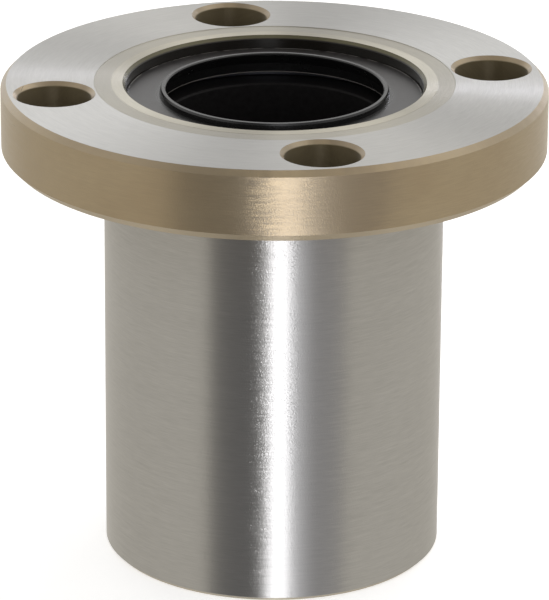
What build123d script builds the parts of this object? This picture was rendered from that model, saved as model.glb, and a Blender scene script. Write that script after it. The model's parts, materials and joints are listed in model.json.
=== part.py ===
from build123d import *
import math
import os

# Linear ball bushing with a round flange, for a 1 inch shaft.
# The origin is on the axis, in the plane of the flange's underside, which seats on the housing.
# +Z runs along the axis and out of the flanged end. Lengths are in millimetres, angles in degrees.

INCH = 25.4

# Envelope
SHAFT_RADIUS = 1.0 * INCH / 2
BODY_RADIUS = 1.5625 * INCH / 2
TOTAL_LENGTH = 2.25 * INCH
FLANGE_RADIUS = 2.5 * INCH / 2
FLANGE_THICKNESS = 8.35
TOP = FLANGE_THICKNESS
BOTTOM = TOP - TOTAL_LENGTH
MIDDLE = (TOP + BOTTOM) / 2

# Edges of the outer cylinder
FLANGE_TOP_CHAMFER = 0.65
FLANGE_SEAT_CHAMFER = 0.9
BODY_CHAMFER = 0.5

# A small groove in the corner under the flange, where the grinding wheel runs out
CORNER_RELIEF_DEPTH = 0.2
CORNER_RELIEF_WIDTH = 0.4
CORNER_RELIEF_LENGTH = 1.2

# Screw holes in the flange
SCREW_COUNT = 4
SCREW_CIRCLE_RADIUS = 51.75 / 2
SCREW_HOLE_RADIUS = 7 / 32 * INCH / 2
HEAD_POCKET_RADIUS = 4.27
HEAD_POCKET_DEPTH = 5.6
HEAD_POCKET_CHAMFER = 0.5

# Bore of the outer cylinder, with a narrower seat for the seal at each end, and the two shallow rings
# around its flanged mouth, which the grinding of the flange's face misses
BORE_RADIUS = 17.5
SEAT_RADIUS = 17.25
SEAT_CHAMFER_WIDTH = 0.4
SEAT_CHAMFER_DEPTH = 0.45
INNER_RING_RADIUS = 18.95
INNER_RING_DEPTH = 0.05
OUTER_RING_RADIUS = 20.98
OUTER_RING_DEPTH = 0.08

# Balls: each circuit is a loaded row, a return row further from the shaft, and two half-circle turns.
# A quarter of a turn is one ball pitch along its arc.
CIRCUITS = 6
BALL_RADIUS = 5 / 32 * INCH / 2
RUNNING_CLEARANCE = 0.05
TURN_RADIUS = 2.88
TURN_TILT = 12.0
PITCHES_PER_ROW = 8
BALLS_PER_TURN = 2
BALL_PITCH = TURN_RADIUS * math.pi / BALLS_PER_TURN
ROW_LENGTH = PITCHES_PER_ROW * BALL_PITCH
LOAD_ROW_RADIUS = SHAFT_RADIUS + BALL_RADIUS
RETURN_ROW_RADIUS = LOAD_ROW_RADIUS + 0.72

# Raised raceways inside the outer cylinder, one behind each loaded row
RACE_RADIUS = LOAD_ROW_RADIUS + BALL_RADIUS + RUNNING_CLEARANCE
RACE_WIDTH = 5.0
RACE_END_RAMP = 0.6
RACE_HALF_LENGTH = ROW_LENGTH / 2 - 0.3

# Turned recesses past the raceways' ends, which give the turning balls room
TURN_RECESS_RADIUS = 17.8
TURN_RECESS_END = 24.2

# Ball retainer
RETAINER_BORE_RADIUS = 12.85
RETAINER_RADIUS = RACE_RADIUS - 0.12
RETAINER_CHAMFER = 0.2
CHANNEL_RADIUS = BALL_RADIUS + 0.08
CHANNEL_REACH = 5.0
JOINT_POCKET_RADIUS = CHANNEL_RADIUS + 0.02

# Retaining rings, which sit in grooves between the retainer and the seals
SEAL_INNER_FACE = 3.3
RING_THICKNESS = 1.1
RING_INNER_RADIUS = 16.0
RING_RADIUS = 18.25
RING_GAP = 6.0
GROOVE_RADIUS = 18.3
GROOVE_WIDTH = 1.2
RETAINER_INSET = SEAL_INNER_FACE + GROOVE_WIDTH + 0.05

# End seals: a rubber ring with a raised wiping lip, stiffened from inside by a steel washer
SEAL_RADIUS = SEAT_RADIUS - 0.02
SEAL_EDGE_RADIUS = 17.12
SEAL_FACE = 1.55
SEAL_EDGE_DEPTH = 1.7
SEAL_THROAT_RADIUS = 13.4
SEAL_THROAT_DEPTH = 2.2
LIP_RADIUS = 12.65
LIP_OUTER_RADIUS = 13.26
LIP_ROOT_RADIUS = 13.38
LIP_TOP = 0.75
LIP_EDGE = 0.12
LIP_FLARE_DEPTH = 1.05
WASHER_INNER_RADIUS = 14.2
WASHER_RADIUS = 16.8
WASHER_DEPTH = 2.45


def turned(outline):
    """Revolve a closed outline of (radius, height) points about the Z axis."""
    points = [(radius, 0, height) for radius, height in outline]
    return revolve(make_face(Polyline(*points, close=True)), axis=Axis.Z)


def turned_at_top(outline):
    """Revolve an outline of (radius, depth below the flange's face) points about the Z axis."""
    return turned([(radius, TOP - depth) for radius, depth in outline])


def plain_ring(inner_radius, outer_radius, near, far):
    """A ring of rectangular section, between two depths below the flange's face."""
    near_side = [(inner_radius, near), (outer_radius, near)]
    far_side = [(outer_radius, far), (inner_radius, far)]
    return turned_at_top(near_side + far_side)


def at_lower_end(shape):
    """Turn a piece of the flanged end over, to its twin's place at the lower end."""
    return Pos(0, 0, 2 * MIDDLE) * Rot(X=180) * shape


def ring_groove():
    """The groove that a retaining ring springs into, at the flanged end."""
    return plain_ring(BORE_RADIUS - 1, GROOVE_RADIUS, SEAL_INNER_FACE, SEAL_INNER_FACE + GROOVE_WIDTH)


def turn_recess():
    """The recess round the balls' turns, near the flanged end."""
    near = MIDDLE + RACE_HALF_LENGTH
    far = MIDDLE + TURN_RECESS_END
    slope = TURN_RECESS_RADIUS - BORE_RADIUS
    return turned(
        [
            (BORE_RADIUS - 1, near),
            (BORE_RADIUS, near),
            (TURN_RECESS_RADIUS, near + slope),
            (TURN_RECESS_RADIUS, far - slope),
            (BORE_RADIUS, far),
            (BORE_RADIUS - 1, far),
        ]
    )


def screw_hole():
    """A through hole with a pocket for the screw's head, on the Z axis."""
    pocket_floor = TOP - HEAD_POCKET_DEPTH
    beyond = 1.0
    return turned(
        [
            (0, -beyond),
            (SCREW_HOLE_RADIUS, -beyond),
            (SCREW_HOLE_RADIUS, pocket_floor),
            (HEAD_POCKET_RADIUS, pocket_floor),
            (HEAD_POCKET_RADIUS, TOP - HEAD_POCKET_CHAMFER),
            (HEAD_POCKET_RADIUS + HEAD_POCKET_CHAMFER + beyond, TOP + beyond),
            (0, TOP + beyond),
        ]
    )


def raceway(angle):
    """A raised strip along the bore, ground to the radius that the loaded balls run on."""
    wall = BORE_RADIUS + 0.5
    ramp_start = RACE_HALF_LENGTH - RACE_END_RAMP
    ring = turned(
        [
            (RACE_RADIUS, MIDDLE - ramp_start),
            (BORE_RADIUS, MIDDLE - RACE_HALF_LENGTH),
            (wall, MIDDLE - RACE_HALF_LENGTH),
            (wall, MIDDLE + RACE_HALF_LENGTH),
            (BORE_RADIUS, MIDDLE + RACE_HALF_LENGTH),
            (RACE_RADIUS, MIDDLE + ramp_start),
        ]
    )
    strip = Pos(BORE_RADIUS, 0, MIDDLE) * Box(4.0, RACE_WIDTH, ROW_LENGTH)
    return Rot(Z=angle) * (ring & strip)


def outer_cylinder():
    """The hardened steel sleeve and its flange, in one piece."""
    relief_radius = BODY_RADIUS - CORNER_RELIEF_DEPTH
    relief_end = -CORNER_RELIEF_LENGTH
    seat_length = SEAL_INNER_FACE + GROOVE_WIDTH / 2
    sleeve = turned(
        [
            (BORE_RADIUS, TOP - seat_length),
            (SEAT_RADIUS, TOP - seat_length),
            (SEAT_RADIUS, TOP - INNER_RING_DEPTH - SEAT_CHAMFER_DEPTH),
            (SEAT_RADIUS + SEAT_CHAMFER_WIDTH, TOP - INNER_RING_DEPTH),
            (INNER_RING_RADIUS, TOP - INNER_RING_DEPTH),
            (INNER_RING_RADIUS + OUTER_RING_DEPTH, TOP - OUTER_RING_DEPTH),
            (OUTER_RING_RADIUS - OUTER_RING_DEPTH, TOP - OUTER_RING_DEPTH),
            (OUTER_RING_RADIUS, TOP),
            (FLANGE_RADIUS - FLANGE_TOP_CHAMFER, TOP),
            (FLANGE_RADIUS, TOP - FLANGE_TOP_CHAMFER),
            (FLANGE_RADIUS, FLANGE_SEAT_CHAMFER),
            (FLANGE_RADIUS - FLANGE_SEAT_CHAMFER, 0),
            (BODY_RADIUS + CORNER_RELIEF_WIDTH, 0),
            (BODY_RADIUS + CORNER_RELIEF_DEPTH, CORNER_RELIEF_DEPTH),
            (relief_radius, CORNER_RELIEF_DEPTH),
            (relief_radius, relief_end),
            (BODY_RADIUS, relief_end - CORNER_RELIEF_DEPTH),
            (BODY_RADIUS, BOTTOM + BODY_CHAMFER),
            (BODY_RADIUS - BODY_CHAMFER, BOTTOM),
            (SEAT_RADIUS + SEAT_CHAMFER_WIDTH, BOTTOM),
            (SEAT_RADIUS, BOTTOM + SEAT_CHAMFER_DEPTH),
            (SEAT_RADIUS, BOTTOM + seat_length),
            (BORE_RADIUS, BOTTOM + seat_length),
        ]
    )
    for groove in (ring_groove(), turn_recess()):
        sleeve -= groove
        sleeve -= at_lower_end(groove)
    for circuit in range(CIRCUITS):
        sleeve += raceway(circuit * 360 / CIRCUITS)
    for screw in range(SCREW_COUNT):
        sleeve -= Rot(Z=screw * 360 / SCREW_COUNT) * Pos(SCREW_CIRCLE_RADIUS, 0, 0) * screw_hole()
    return sleeve


def end_seal():
    """The rubber part of the seal at the flanged end."""
    return turned_at_top(
        [
            (SEAL_RADIUS, SEAL_INNER_FACE),
            (SEAL_RADIUS, SEAL_EDGE_DEPTH),
            (SEAL_EDGE_RADIUS, SEAL_FACE),
            (LIP_ROOT_RADIUS, SEAL_FACE),
            (LIP_OUTER_RADIUS, LIP_TOP + 2 * LIP_EDGE),
            (LIP_OUTER_RADIUS - LIP_EDGE, LIP_TOP),
            (LIP_RADIUS + LIP_EDGE, LIP_TOP),
            (LIP_RADIUS, LIP_TOP + LIP_EDGE),
            (LIP_RADIUS, LIP_FLARE_DEPTH),
            (SEAL_THROAT_RADIUS, SEAL_THROAT_DEPTH),
            (SEAL_THROAT_RADIUS, SEAL_INNER_FACE),
            (WASHER_INNER_RADIUS, SEAL_INNER_FACE),
            (WASHER_INNER_RADIUS, WASHER_DEPTH),
            (WASHER_RADIUS, WASHER_DEPTH),
            (WASHER_RADIUS, SEAL_INNER_FACE),
        ]
    )


def seal_washer():
    """The steel washer that the seal's rubber is moulded on."""
    return plain_ring(WASHER_INNER_RADIUS, WASHER_RADIUS, WASHER_DEPTH, SEAL_INNER_FACE)


def retaining_ring():
    """A split spring ring of rectangular section, at the flanged end."""
    near = SEAL_INNER_FACE + (GROOVE_WIDTH - RING_THICKNESS) / 2
    far = near + RING_THICKNESS
    ring = plain_ring(RING_INNER_RADIUS, RING_RADIUS, near, far)
    return ring - Pos(0, -BORE_RADIUS, TOP - (near + far) / 2) * Box(RING_GAP, 6.0, 2 * RING_THICKNESS)


def row_points(circuit):
    """The centres of a circuit's loaded row and return row at mid length."""
    squares = LOAD_ROW_RADIUS**2 + RETURN_ROW_RADIUS**2
    spread = math.acos((squares - (2 * TURN_RADIUS) ** 2) / (2 * LOAD_ROW_RADIUS * RETURN_ROW_RADIUS))
    start = 2 * math.pi * circuit / CIRCUITS
    load = Vector(LOAD_ROW_RADIUS * math.cos(start), LOAD_ROW_RADIUS * math.sin(start), MIDDLE)
    back_angle = start + spread
    back = Vector(RETURN_ROW_RADIUS * math.cos(back_angle), RETURN_ROW_RADIUS * math.sin(back_angle), MIDDLE)
    return load, back


def turn_plane(circuit, upper):
    """The plane of one half-circle turn. The balls enter it at local x = -TURN_RADIUS.

    Its local z points away from the shaft, and it leans so that the turn climbs clear of the shaft.
    """
    load, back = row_points(circuit)
    across = (back - load).normalized()
    outward = across.cross(Vector(0, 0, 1))
    end = 1 if upper else -1
    lean = math.radians(TURN_TILT)
    normal = outward * math.cos(lean) - Vector(0, 0, end) * math.sin(lean)
    centre = (load + back) * 0.5 + Vector(0, 0, end * ROW_LENGTH / 2)
    return Plane(origin=centre, x_dir=across * end, z_dir=normal)


def channel_section():
    """The U-shaped section of a ball channel, open away from the shaft along its local y."""
    left = Line((-CHANNEL_RADIUS, CHANNEL_REACH), (-CHANNEL_RADIUS, 0))
    floor = ThreePointArc((-CHANNEL_RADIUS, 0), (0, -CHANNEL_RADIUS), (CHANNEL_RADIUS, 0))
    right = Line((CHANNEL_RADIUS, 0), (CHANNEL_RADIUS, CHANNEL_REACH))
    lid = Line((CHANNEL_RADIUS, CHANNEL_REACH), (-CHANNEL_RADIUS, CHANNEL_REACH))
    return make_face([left, floor, right, lid])


def channel_pieces(circuit):
    """The solids that together cut one circuit's closed channel."""
    load, back = row_points(circuit)
    across = (back - load).normalized()
    pieces = []
    for centre in (load, back):
        foot = Plane(origin=centre - Vector(0, 0, ROW_LENGTH / 2), x_dir=across * -1, z_dir=(0, 0, 1))
        pieces.append(foot * extrude(channel_section(), ROW_LENGTH))
    half_turn = revolve(Plane.XZ * Pos(TURN_RADIUS, 0) * channel_section(), axis=Axis.Z, revolution_arc=180)
    for upper in (True, False):
        place = turn_plane(circuit, upper)
        pieces.append(place * half_turn)
        for side in (-TURN_RADIUS, TURN_RADIUS):
            pieces.append(place * Pos(side, 0, 0) * Sphere(JOINT_POCKET_RADIUS))
    return pieces


def ball_retainer():
    """The moulded cage: a tube with a closed channel for each circuit, which the shaft shows through."""
    low = BOTTOM + RETAINER_INSET
    high = TOP - RETAINER_INSET
    cage = turned(
        [
            (RETAINER_BORE_RADIUS, low + RETAINER_CHAMFER),
            (RETAINER_BORE_RADIUS + RETAINER_CHAMFER, low),
            (RETAINER_RADIUS - RETAINER_CHAMFER, low),
            (RETAINER_RADIUS, low + RETAINER_CHAMFER),
            (RETAINER_RADIUS, high - RETAINER_CHAMFER),
            (RETAINER_RADIUS - RETAINER_CHAMFER, high),
            (RETAINER_BORE_RADIUS + RETAINER_CHAMFER, high),
            (RETAINER_BORE_RADIUS, high - RETAINER_CHAMFER),
        ]
    )
    for circuit in range(CIRCUITS):
        for piece in channel_pieces(circuit):
            cage -= piece
    return cage


def balls_at(centres):
    """One group of separate balls."""
    return Compound(children=[Pos(*centre) * Sphere(BALL_RADIUS) for centre in centres])


def load_balls(circuit):
    """The loaded row, which travels up by one pitch from here."""
    load, _ = row_points(circuit)
    low = load - Vector(0, 0, ROW_LENGTH / 2)
    return balls_at([low + Vector(0, 0, step * BALL_PITCH) for step in range(PITCHES_PER_ROW)])


def return_balls(circuit):
    """The return row, which travels down by one pitch from here."""
    _, back = row_points(circuit)
    high = back + Vector(0, 0, ROW_LENGTH / 2)
    return balls_at([high - Vector(0, 0, step * BALL_PITCH) for step in range(PITCHES_PER_ROW)])


def turn_balls(circuit, upper):
    """The balls in one turn, which swing on by one pitch from here."""
    place = turn_plane(circuit, upper)
    centres = []
    for step in range(BALLS_PER_TURN):
        swing = math.radians(step * 180 / BALLS_PER_TURN)
        centres.append(place.from_local_coords(Vector(-math.cos(swing), math.sin(swing), 0) * TURN_RADIUS))
    return balls_at(centres)


nodes = {
    "outer_cylinder": outer_cylinder(),
    "ball_retainer": ball_retainer(),
    "upper_seal": end_seal(),
    "lower_seal": at_lower_end(end_seal()),
    "upper_seal_washer": seal_washer(),
    "lower_seal_washer": at_lower_end(seal_washer()),
    "upper_retaining_ring": retaining_ring(),
    "lower_retaining_ring": at_lower_end(retaining_ring()),
}
for circuit in range(CIRCUITS):
    name = f"circuit_{circuit + 1}"
    nodes[f"{name}_load_balls"] = load_balls(circuit)
    nodes[f"{name}_return_balls"] = return_balls(circuit)
    nodes[f"{name}_upper_turn_balls"] = turn_balls(circuit, upper=True)
    nodes[f"{name}_lower_turn_balls"] = turn_balls(circuit, upper=False)

os.makedirs("parts", exist_ok=True)
for node, shape in nodes.items():
    export_step(shape, f"parts/{node}.step")
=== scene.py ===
import bmesh
import bpy
import json
import math
from mathutils import Matrix, Vector


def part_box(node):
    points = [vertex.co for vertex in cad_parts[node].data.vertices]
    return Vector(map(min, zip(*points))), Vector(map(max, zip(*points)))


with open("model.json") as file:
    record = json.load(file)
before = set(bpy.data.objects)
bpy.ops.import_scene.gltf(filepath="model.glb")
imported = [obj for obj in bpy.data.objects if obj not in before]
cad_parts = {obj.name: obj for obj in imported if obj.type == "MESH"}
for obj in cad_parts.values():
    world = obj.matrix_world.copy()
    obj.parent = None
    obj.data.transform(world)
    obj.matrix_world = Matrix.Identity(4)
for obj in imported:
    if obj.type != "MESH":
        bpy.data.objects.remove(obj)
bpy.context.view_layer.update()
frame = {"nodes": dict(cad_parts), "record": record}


# ---------------------------------------------------------------------------------------------------
# Sleeve and flange: one piece of hardened bearing steel, turned, and tempered to a straw colour.
# Only the flange's face and the outside of the body are then ground bright.

MM = 0.001
sleeve_low, sleeve_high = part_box("outer_cylinder")
flange_face = sleeve_high.z / MM
lower_end = sleeve_low.z / MM
body_radius = next(m["dims"]["r_mm"] for m in frame["record"]["mounts"] if m["name"] == "body_outside")
screws = next(m["dims"] for m in frame["record"]["mounts"] if m["name"] == "flange_screws")
flange_underside = 0.0
relief_end = flange_underside - 1.4
seat_chamfer = 0.9
body_chamfer = 0.5
outer_ring_radius = 20.98
inner_ring_radius = 18.95
bore_edge_radius = 17.65
seal_seat_radius = 17.25
hole_radius = 4.27


class Value:
    """A number that varies over a surface. Arithmetic on it adds Math nodes to its tree."""

    def __init__(self, nodes, socket):
        self.nodes = nodes
        self.socket = socket

    def maths(self, operation, *terms):
        return self.nodes.add("ShaderNodeMath", {"operation": operation}, dict(enumerate(terms)))

    def __add__(self, other):
        return self.maths("ADD", self, other)

    def __radd__(self, other):
        return self.maths("ADD", other, self)

    def __sub__(self, other):
        return self.maths("SUBTRACT", self, other)

    def __rsub__(self, other):
        return self.maths("SUBTRACT", other, self)

    def __mul__(self, other):
        return self.maths("MULTIPLY", self, other)

    def __rmul__(self, other):
        return self.maths("MULTIPLY", other, self)

    def __truediv__(self, other):
        return self.maths("DIVIDE", self, other)

    def __pow__(self, other):
        return self.maths("POWER", self, other)

    def __abs__(self):
        return self.maths("ABSOLUTE", self)

    def rise(self, start, end):
        """0 where this is at start or short of it, 1 at end or past it, and even between them."""
        ends = {"Value": self, "From Min": start, "From Max": end, "To Min": 0.0, "To Max": 1.0}
        return self.nodes.add("ShaderNodeMapRange", {"clamp": True}, ends)

    def within(self, start, end, edge):
        """1 between start and end, with an edge of that width centred on each."""
        half = edge / 2
        return self.rise(start - half, start + half) * (1 - self.rise(end - half, end + half))


class Nodes:
    """A node tree that is built in Python expressions."""

    def __init__(self, tree):
        self.tree = tree

    def add(self, kind, settings, inputs, output=0):
        made = self.tree.nodes.new(kind)
        for name, value in settings.items():
            setattr(made, name, value)
        self.feed(made, inputs)
        return Value(self, made.outputs[output])

    def feed(self, node, inputs):
        for name, value in inputs.items():
            if isinstance(value, Value):
                self.tree.links.new(value.socket, node.inputs[name])
            else:
                node.inputs[name].default_value = value

    def vector(self, operation, *terms, output="Vector"):
        settings = {"operation": operation}
        return self.add("ShaderNodeVectorMath", settings, dict(enumerate(terms)), output)

    def blend(self, factor, first, second):
        """The colour first where factor is 0, and second where it is 1."""
        return self.add("ShaderNodeMix", {"data_type": "RGBA"}, {0: factor, 6: first, 7: second}, 2)


class Finish(Nodes):
    """A material on one Principled shader. Its lengths are millimetres in the part's own frame."""

    def __init__(self, name):
        self.material = bpy.data.materials.new(name)
        self.material.use_nodes = True
        super().__init__(self.material.node_tree)
        place = self.add("ShaderNodeTexCoord", {}, {}, "Object")
        axes = [self.add("ShaderNodeSeparateXYZ", {}, {0: place}, axis) for axis in "XYZ"]
        self.x, self.y, self.z = [axis * (1 / MM) for axis in axes]
        self.radius = (self.x * self.x + self.y * self.y) ** 0.5

    def noise(self, across, up, along, detail=2.0):
        """Noise with that many features to a millimetre across the part, and up along another length."""
        stretched = {0: self.x * across, 1: self.y * across, 2: along * up}
        place = self.add("ShaderNodeCombineXYZ", {}, stretched)
        return self.add("ShaderNodeTexNoise", {}, {"Vector": place, "Scale": 1.0, "Detail": detail})

    def lean(self, amount):
        """The surface's normal, leant round the part's axis by the arc tangent of the amount."""
        normal = self.add("ShaderNodeTexCoord", {}, {}, "Normal")
        turn = {0: 0 - self.y / self.radius, 1: self.x / self.radius}
        around = self.vector("SCALE", self.add("ShaderNodeCombineXYZ", {}, turn))
        self.feed(around.socket.node, {"Scale": amount})
        return self.vector("NORMALIZE", self.vector("ADD", normal, around))

    def bump(self, height, depth, normal=None):
        """Relief of that depth in millimetres, on top of any relief that it is given."""
        relief = {"Height": height, "Distance": depth * MM}
        if normal is not None:
            relief["Normal"] = normal
        return self.add("ShaderNodeBump", {}, relief)

    def coat(self, *nodes, **sockets):
        """Put the finish on these CAD nodes, with these values on its shader's sockets."""
        shader = self.tree.nodes["Principled BSDF"]
        self.feed(shader, {name.replace("_", " "): value for name, value in sockets.items()})
        for node in nodes:
            slots = frame["nodes"][node].data.materials
            slots.clear()
            slots.append(self.material)


SILVER = (0.485, 0.48, 0.465, 1)
PALE_STRAW = (0.50, 0.475, 0.405, 1)
FLAT_STRAW = (0.37, 0.345, 0.28, 1)
STRAW = (0.318, 0.238, 0.126, 1)
DEEP_STRAW = (0.288, 0.208, 0.104, 1)
HOLE_BROWN_AND_SHADE = (0.15, 0.12, 0.065, 1)
SEAT_OLIVE_AND_SHADE = (0.11, 0.10, 0.055, 1)
BORE_PAINTED_SHADE = (0.012, 0.010, 0.007, 1)

steel = Finish("ground_and_tempered_steel")
on_face = steel.z.rise(flange_face - 0.02, flange_face - 0.01)
below_relief = 1 - steel.z.rise(relief_end, relief_end + 0.05)
on_body = steel.radius.within(body_radius - 0.1, body_radius + 0.1, 0.04) * below_relief
ground = on_face + on_body
near_face = steel.z.rise(flange_face - 0.2, flange_face - 0.1)
on_ring = steel.radius.within(bore_edge_radius, inner_ring_radius, 0.04) * near_face
on_flat = steel.radius.within(inner_ring_radius, outer_ring_radius, 0.04) * near_face
in_bore = 1 - steel.radius.rise(bore_edge_radius - 0.02, bore_edge_radius)
past_body = steel.radius.rise(body_radius + 1, body_radius + 2)
at_seat = steel.z.within(flange_underside - 0.1, seat_chamfer, 0.1) * past_body
at_foot = 1 - steel.z.rise(lower_end + body_chamfer, lower_end + body_chamfer + 0.1)
pale = on_ring + 0.15 * at_seat + 0.5 * at_foot

# Two holes lie on each of the part's X and Y axes, so the nearer axis gives the distance to a hole
long_way = steel.x.maths("MAXIMUM", abs(steel.x), abs(steel.y))
short_way = steel.x.maths("MINIMUM", abs(steel.x), abs(steel.y))
off_screw = long_way - screws["pcd_mm"] / 2
from_hole = (off_screw * off_screw + short_way * short_way) ** 0.5
above_seat = steel.z.rise(flange_underside + 0.1, flange_underside + 0.2)
in_hole = (1 - from_hole.rise(hole_radius, hole_radius + 0.1)) * above_seat

# The lines of the cut follow the height on walls and the radius on faces
cut = steel.z + steel.radius
turned_lines = steel.noise(0.05, 2.4, cut, 3.0)
ground_lines = steel.noise(0.5, 9.0, cut, 2.0)
grain = steel.noise(6.0, 8.0, steel.z, 1.0)
sparks = grain.rise(0.60, 0.82) * on_body
clouds = steel.noise(0.12, 0.12, steel.z, 3.0)

colour = steel.blend(clouds.rise(0.35, 0.7), STRAW, DEEP_STRAW)
colour = steel.blend(pale, colour, PALE_STRAW)
colour = steel.blend(on_flat, colour, FLAT_STRAW)
# The screw holes' walls are their tempered brown, painted darker still as shade inside the holes.
colour = steel.blend(in_hole, colour, HOLE_BROWN_AND_SHADE)
# Inside the bore the wall below the seal's seat is painted near black as painted shade, and the seat is
# the straw temper darkened to olive as painted shade.
off_seal_seat = steel.radius.rise(seal_seat_radius + 0.05, seal_seat_radius + 0.15)
colour = steel.blend(in_bore, colour, steel.blend(off_seal_seat, BORE_PAINTED_SHADE, SEAT_OLIVE_AND_SHADE))
colour = steel.blend(ground, colour, SILVER)
lines = 0.80 + 0.28 * ground_lines + 0.12 * turned_lines
shade = steel.add("ShaderNodeCombineColor", {}, {channel: lines for channel in ("Red", "Green", "Blue")})
darken = {"data_type": "RGBA", "blend_type": "MULTIPLY"}
colour = steel.add("ShaderNodeMix", darken, {0: 1.0, 6: colour, 7: shade}, 2)

unground = 1 - (ground + on_ring + in_bore)
normal = steel.lean((ground_lines - 0.5) * (0.05 + 0.11 * unground) + 0.08 * sparks)
normal = steel.bump(turned_lines * (unground + 2 * on_flat), 0.010, normal)
normal = steel.bump(grain * (1 + 0.8 * unground + 1.2 * (on_ring + on_flat)), 0.010, normal)
rough = 0.36 - 0.05 * on_face + unground * (0.2 * (turned_lines - 0.5) - 0.04)
rough = rough + 0.2 * on_flat + 0.3 * in_hole - 0.12 * in_bore
steel.coat(
    "outer_cylinder",
    Base_Color=colour,
    Metallic=1 - 0.28 * unground - 0.4 * in_hole - 0.7 * in_bore,
    Roughness=rough,
    Coat_Weight=0.6 * unground * (1 - in_hole),
    Coat_Roughness=0.30,
    Coat_IOR=2.3,
    Anisotropic=1.0,
    Anisotropic_Rotation=0.25,
    Normal=normal,
)


# ---------------------------------------------------------------------------------------------------
# End seals: black nitrile rubber, moulded on a pressed steel washer and pushed into the sleeve's
# ends. Each has a raised lip that wipes the shaft, and a thin flash left by the mould round its edge,
# which is shown only as a painted highlight.

flash_radius = 16.94
collar_radius = 13.6
throat_end = flange_face - 3.2
LIP_PAINTED_SHADE = (0.006, 0.006, 0.006, 1)
RUBBER = (0.020, 0.018, 0.018, 1)
RUBBER_BLOOM = (0.030, 0.027, 0.026, 1)
THROAT_HIGHLIGHT = (0.16, 0.15, 0.14, 1)
FLASH_HIGHLIGHT = (0.20, 0.19, 0.18, 1)

rubber = Finish("moulded_nitrile_rubber")
bloom = rubber.noise(0.6, 0.6, rubber.z, 3.0)
skin = rubber.noise(6.0, 6.0, rubber.z, 2.0)
past_collar = rubber.radius.rise(collar_radius, collar_radius + 0.6)
# A thin light-grey ring at the end of the seal's throat is a painted highlight on that edge.
throat_highlight = rubber.z.within(throat_end - 0.12, throat_end, 0.04) * (1 - past_collar)
# The mould's flash round the seal's edge is painted as ragged light-grey patches, a painted highlight.
flash_highlight = rubber.radius.rise(flash_radius, flash_radius + 0.06) * bloom.rise(0.44, 0.52)

colour = rubber.blend(bloom.rise(0.35, 0.7), RUBBER, RUBBER_BLOOM)
# Inside the collar the rubber is painted blacker than the rest, as painted shade down in the bore.
colour = rubber.blend(past_collar, LIP_PAINTED_SHADE, colour)
colour = rubber.blend(flash_highlight, colour, FLASH_HIGHLIGHT)
rubber.coat(
    "upper_seal",
    "lower_seal",
    Base_Color=rubber.blend(throat_highlight, colour, THROAT_HIGHLIGHT),
    Roughness=0.26 + 0.08 * past_collar + 0.10 * (bloom - 0.5),
    IOR=1.55,
    Normal=rubber.bump(skin, 0.004),
)

pressed_steel = Finish("pressed_sheet_steel")
rolled = pressed_steel.noise(0.4, 5.0, pressed_steel.x)
pressed_steel.coat(
    "upper_seal_washer",
    "lower_seal_washer",
    Base_Color=pressed_steel.blend(rolled, (0.42, 0.42, 0.42, 1), (0.52, 0.52, 0.51, 1)),
    Metallic=1.0,
    Roughness=0.35 + 0.2 * rolled,
)


# ---------------------------------------------------------------------------------------------------
# Retaining rings: split rings of blued spring steel, one at each end of the cage. They are sprung
# into grooves in the sleeve behind the seals and hold the cage endways.

blued_steel = Finish("blued_spring_steel")
drawn = blued_steel.noise(0.3, 6.0, blued_steel.radius)
blued_steel.coat(
    "upper_retaining_ring",
    "lower_retaining_ring",
    Base_Color=blued_steel.blend(drawn, (0.08, 0.085, 0.10, 1), (0.14, 0.145, 0.16, 1)),
    Metallic=1.0,
    Roughness=0.32 + 0.15 * drawn,
)


# ---------------------------------------------------------------------------------------------------
# Ball cage: black acetal resin, moulded in one piece, with a closed channel for each circuit of
# balls. It is a loose fit in the sleeve, between the retaining rings.

resin = Finish("black_acetal")
flow = resin.noise(1.5, 1.5, resin.z, 3.0)
resin.coat(
    "ball_retainer",
    Base_Color=resin.blend(flow.rise(0.3, 0.7), (0.013, 0.012, 0.012, 1), (0.018, 0.017, 0.017, 1)),
    Roughness=0.34 + 0.15 * (flow - 0.5),
    Specular_IOR_Level=0.06,
    Normal=resin.bump(flow, 0.003),
)


# ---------------------------------------------------------------------------------------------------
# Balls: through-hardened bearing steel, ground and then lapped to a mirror. The cage keeps them
# in six circuits, each with a loaded row, a return row and a turn at either end.

lapped_steel = Finish("lapped_ball_steel")
lapping = lapped_steel.noise(3.0, 3.0, lapped_steel.z, 4.0)
lapped_steel.coat(
    *[node for node in frame["nodes"] if node.endswith("_balls")],
    Base_Color=lapped_steel.blend(lapping, (0.60, 0.60, 0.61, 1), (0.70, 0.70, 0.70, 1)),
    Metallic=1.0,
    Roughness=0.06 + 0.06 * lapping,
)


# ---------------------------------------------------------------------------------------------------
# Camera: a long lens that looks down at the flange from in front. Its bearing turns from the part's
# own Y axis, where one screw hole lies.

camera_bearing = math.radians(-11.93)
camera_height = math.radians(21.02)
camera_distance = 0.5505
camera_roll = math.radians(0.406)
right = Vector((math.cos(camera_bearing), math.sin(camera_bearing), 0))
away = Vector((-math.sin(camera_bearing), math.cos(camera_bearing), 0))
up = Vector((0, 0, 1))
aim = right * 0.000152 + up * (sleeve_high.z - 0.0272)

lens = bpy.data.cameras.new("camera")
lens.lens = 280.1
lens.sensor_width = 36
lens.clip_start = 0.01
camera = bpy.data.objects.new("camera", lens)
camera.location = aim + (up * math.sin(camera_height) - away * math.cos(camera_height)) * camera_distance
upright = (aim - camera.location).to_track_quat("-Z", "Y")
camera.rotation_mode = "QUATERNION"
camera.rotation_quaternion = upright @ Matrix.Rotation(camera_roll, 3, "Z").to_quaternion()
bpy.context.scene.collection.objects.link(camera)
bpy.context.scene.camera = camera


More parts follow.
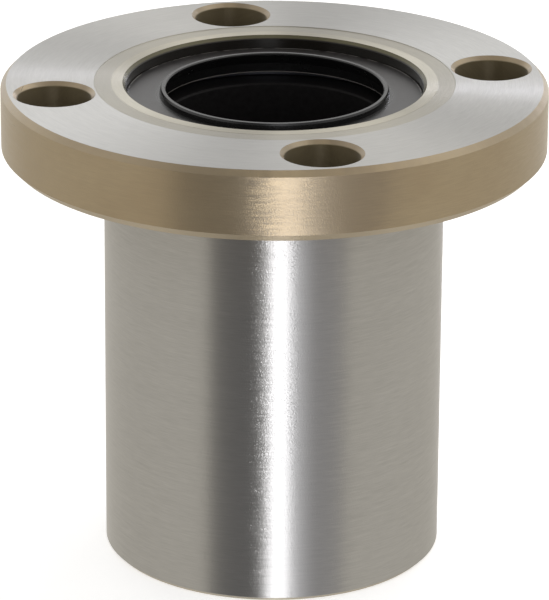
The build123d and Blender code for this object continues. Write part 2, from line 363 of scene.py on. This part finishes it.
# ---------------------------------------------------------------------------------------------------
# Floor: a sheet of pale paper, evenly lit from within like a light table, that the part stands on.
# Reflections see the tent below it instead.


class Paper(Finish):
    """A finish that shows only from above, so that the part's lower end can be seen from below."""

    def __init__(self, name):
        super().__init__(name)
        from_below = self.add("ShaderNodeNewGeometry", {}, {}, "Backfacing")
        clear = self.add("ShaderNodeBsdfTransparent", {}, {})
        opaque = Value(self, self.tree.nodes["Principled BSDF"].outputs["BSDF"])
        shown = self.add("ShaderNodeMixShader", {}, {0: from_below, 1: opaque, 2: clear})
        self.feed(self.tree.nodes["Material Output"], {"Surface": shown})


floor_size = 4.0
shadow_disc_radius = 17 * MM
shadow_disc_lift = 0.05 * MM

paper = Paper("light_table")
paper.coat(
    Base_Color=(0.80, 0.80, 0.79, 1),
    Roughness=0.9,
    Emission_Color=(1, 1, 1, 1),
    Emission_Strength=0.55,
)
floor_mesh = bpy.data.meshes.new("floor")
shape = bmesh.new()
bmesh.ops.create_grid(shape, x_segments=1, y_segments=1, size=floor_size / 2)
bmesh.ops.translate(shape, verts=shape.verts, vec=(0, 0, sleeve_low.z))
shape.to_mesh(floor_mesh)
shape.free()
floor = bpy.data.objects.new("floor", floor_mesh)
bpy.context.scene.collection.objects.link(floor)
floor.visible_glossy = False
floor_mesh.materials.append(paper.material)

# Under the bore a dull grey disc on the floor is a painted shadow, so that no light shines up through
# the cage
dull_paper = Paper("dull_paper")
dull_paper.coat(Base_Color=(0.25, 0.25, 0.25, 1), Roughness=0.9)
shape = bmesh.new()
bmesh.ops.create_circle(shape, cap_ends=True, segments=96, radius=shadow_disc_radius)
bmesh.ops.translate(shape, verts=shape.verts, vec=(0, 0, sleeve_low.z + shadow_disc_lift))
shadow_disc_mesh = bpy.data.meshes.new("blank")
shape.to_mesh(shadow_disc_mesh)
shape.free()
shadow_disc_mesh.materials.append(dull_paper.material)
blank = bpy.data.objects.new("blank", shadow_disc_mesh)
bpy.context.scene.collection.objects.link(blank)


# ---------------------------------------------------------------------------------------------------
# Light tent: soft and warm all round, open towards the camera, with a tall strip light beside the
# lens. Bearings are degrees to the right of the camera, round the part. The camera itself sees a
# plain pale backdrop in place of the tent.

world = bpy.data.worlds.new("light_tent")
world.use_nodes = True
bpy.context.scene.world = world
tent = Nodes(world.node_tree)
ray = tent.add("ShaderNodeTexCoord", {}, {}, "Generated")
sideways = tent.vector("DOT_PRODUCT", ray, tuple(right), output="Value")
forwards = tent.vector("DOT_PRODUCT", ray, tuple(-away), output="Value")
bearing = sideways.maths("ARCTAN2", sideways, forwards) * math.degrees(1)
height = tent.vector("DOT_PRODUCT", ray, tuple(up), output="Value")
height = height.maths("ARCSINE", height) * math.degrees(1)

WALL = (0.655, 0.605, 0.515, 1)
FLOOR_GLOW = (0.95, 0.93, 0.86, 1)
HORIZON = (0.96, 0.95, 0.935, 1)
ROOF = (0.44, 0.43, 0.415, 1)
OPENING = (0.20, 0.195, 0.195, 1)
CAMERA_ROOM = (0.46, 0.45, 0.46, 1)
STRIP_SIDE = (1.0, 1.0, 1.04, 1)
STRIP = (3.6, 3.6, 3.75, 1)
BACK_LIGHT = (1.9, 1.9, 1.9, 1)
ROOF_LAMP = (2.4, 2.36, 2.28, 1)
SIDE_LIGHT = (0.85, 0.83, 0.80, 1)
BACK_LAMP = (18.0, 18.0, 20.5, 1)
BACKDROP = (0.95, 0.95, 0.95, 1)


def lamp(light, colour, at_bearing, at_height, size, edge):
    """A round light in the tent's wall, with its size and the width of its soft edge in degrees."""
    turn = math.radians(at_bearing)
    rise = math.radians(at_height)
    to_lamp = (right * math.sin(turn) - away * math.cos(turn)) * math.cos(rise) + up * math.sin(rise)
    off_lamp = tent.vector("DOT_PRODUCT", ray, tuple(to_lamp), output="Value")
    off_lamp = off_lamp.maths("ARCCOSINE", off_lamp) * math.degrees(1)
    return tent.blend(off_lamp.rise(size / 2 - edge / 2, size / 2 + edge / 2), colour, light)


light = tent.blend(height.rise(-80, -45), FLOOR_GLOW, WALL)
light = tent.blend(height.rise(-15, 5), light, HORIZON)
light = tent.blend(height.rise(15, 50), light, ROOF)
below_roof = 1 - height.rise(50, 60)
light = tent.blend(bearing.within(-43, -6, 5) * below_roof, light, OPENING)
light = tent.blend(bearing.within(14, 50, 6) * below_roof, light, CAMERA_ROOM)
below_strip_top = 1 - height.rise(20, 40)
light = tent.blend(bearing.within(-4, 24, 8) * below_strip_top, light, STRIP_SIDE)
light = tent.blend(bearing.within(-2, 12, 4) * below_strip_top, light, STRIP)
light = lamp(light, BACK_LIGHT, at_bearing=-160, at_height=35, size=30, edge=20)
light = lamp(light, ROOF_LAMP, at_bearing=128, at_height=61, size=36, edge=28)
light = lamp(light, SIDE_LIGHT, at_bearing=-92, at_height=48, size=34, edge=20)
light = lamp(light, BACK_LAMP, at_bearing=161.5, at_height=13.5, size=5, edge=2)
to_camera = tent.add("ShaderNodeLightPath", {}, {}, "Is Camera Ray")
light = tent.blend(to_camera, light, BACKDROP)
tent.feed(world.node_tree.nodes["Background"], {"Color": light, "Strength": 1.0})
bpy.context.scene.view_settings.view_transform = "Standard"
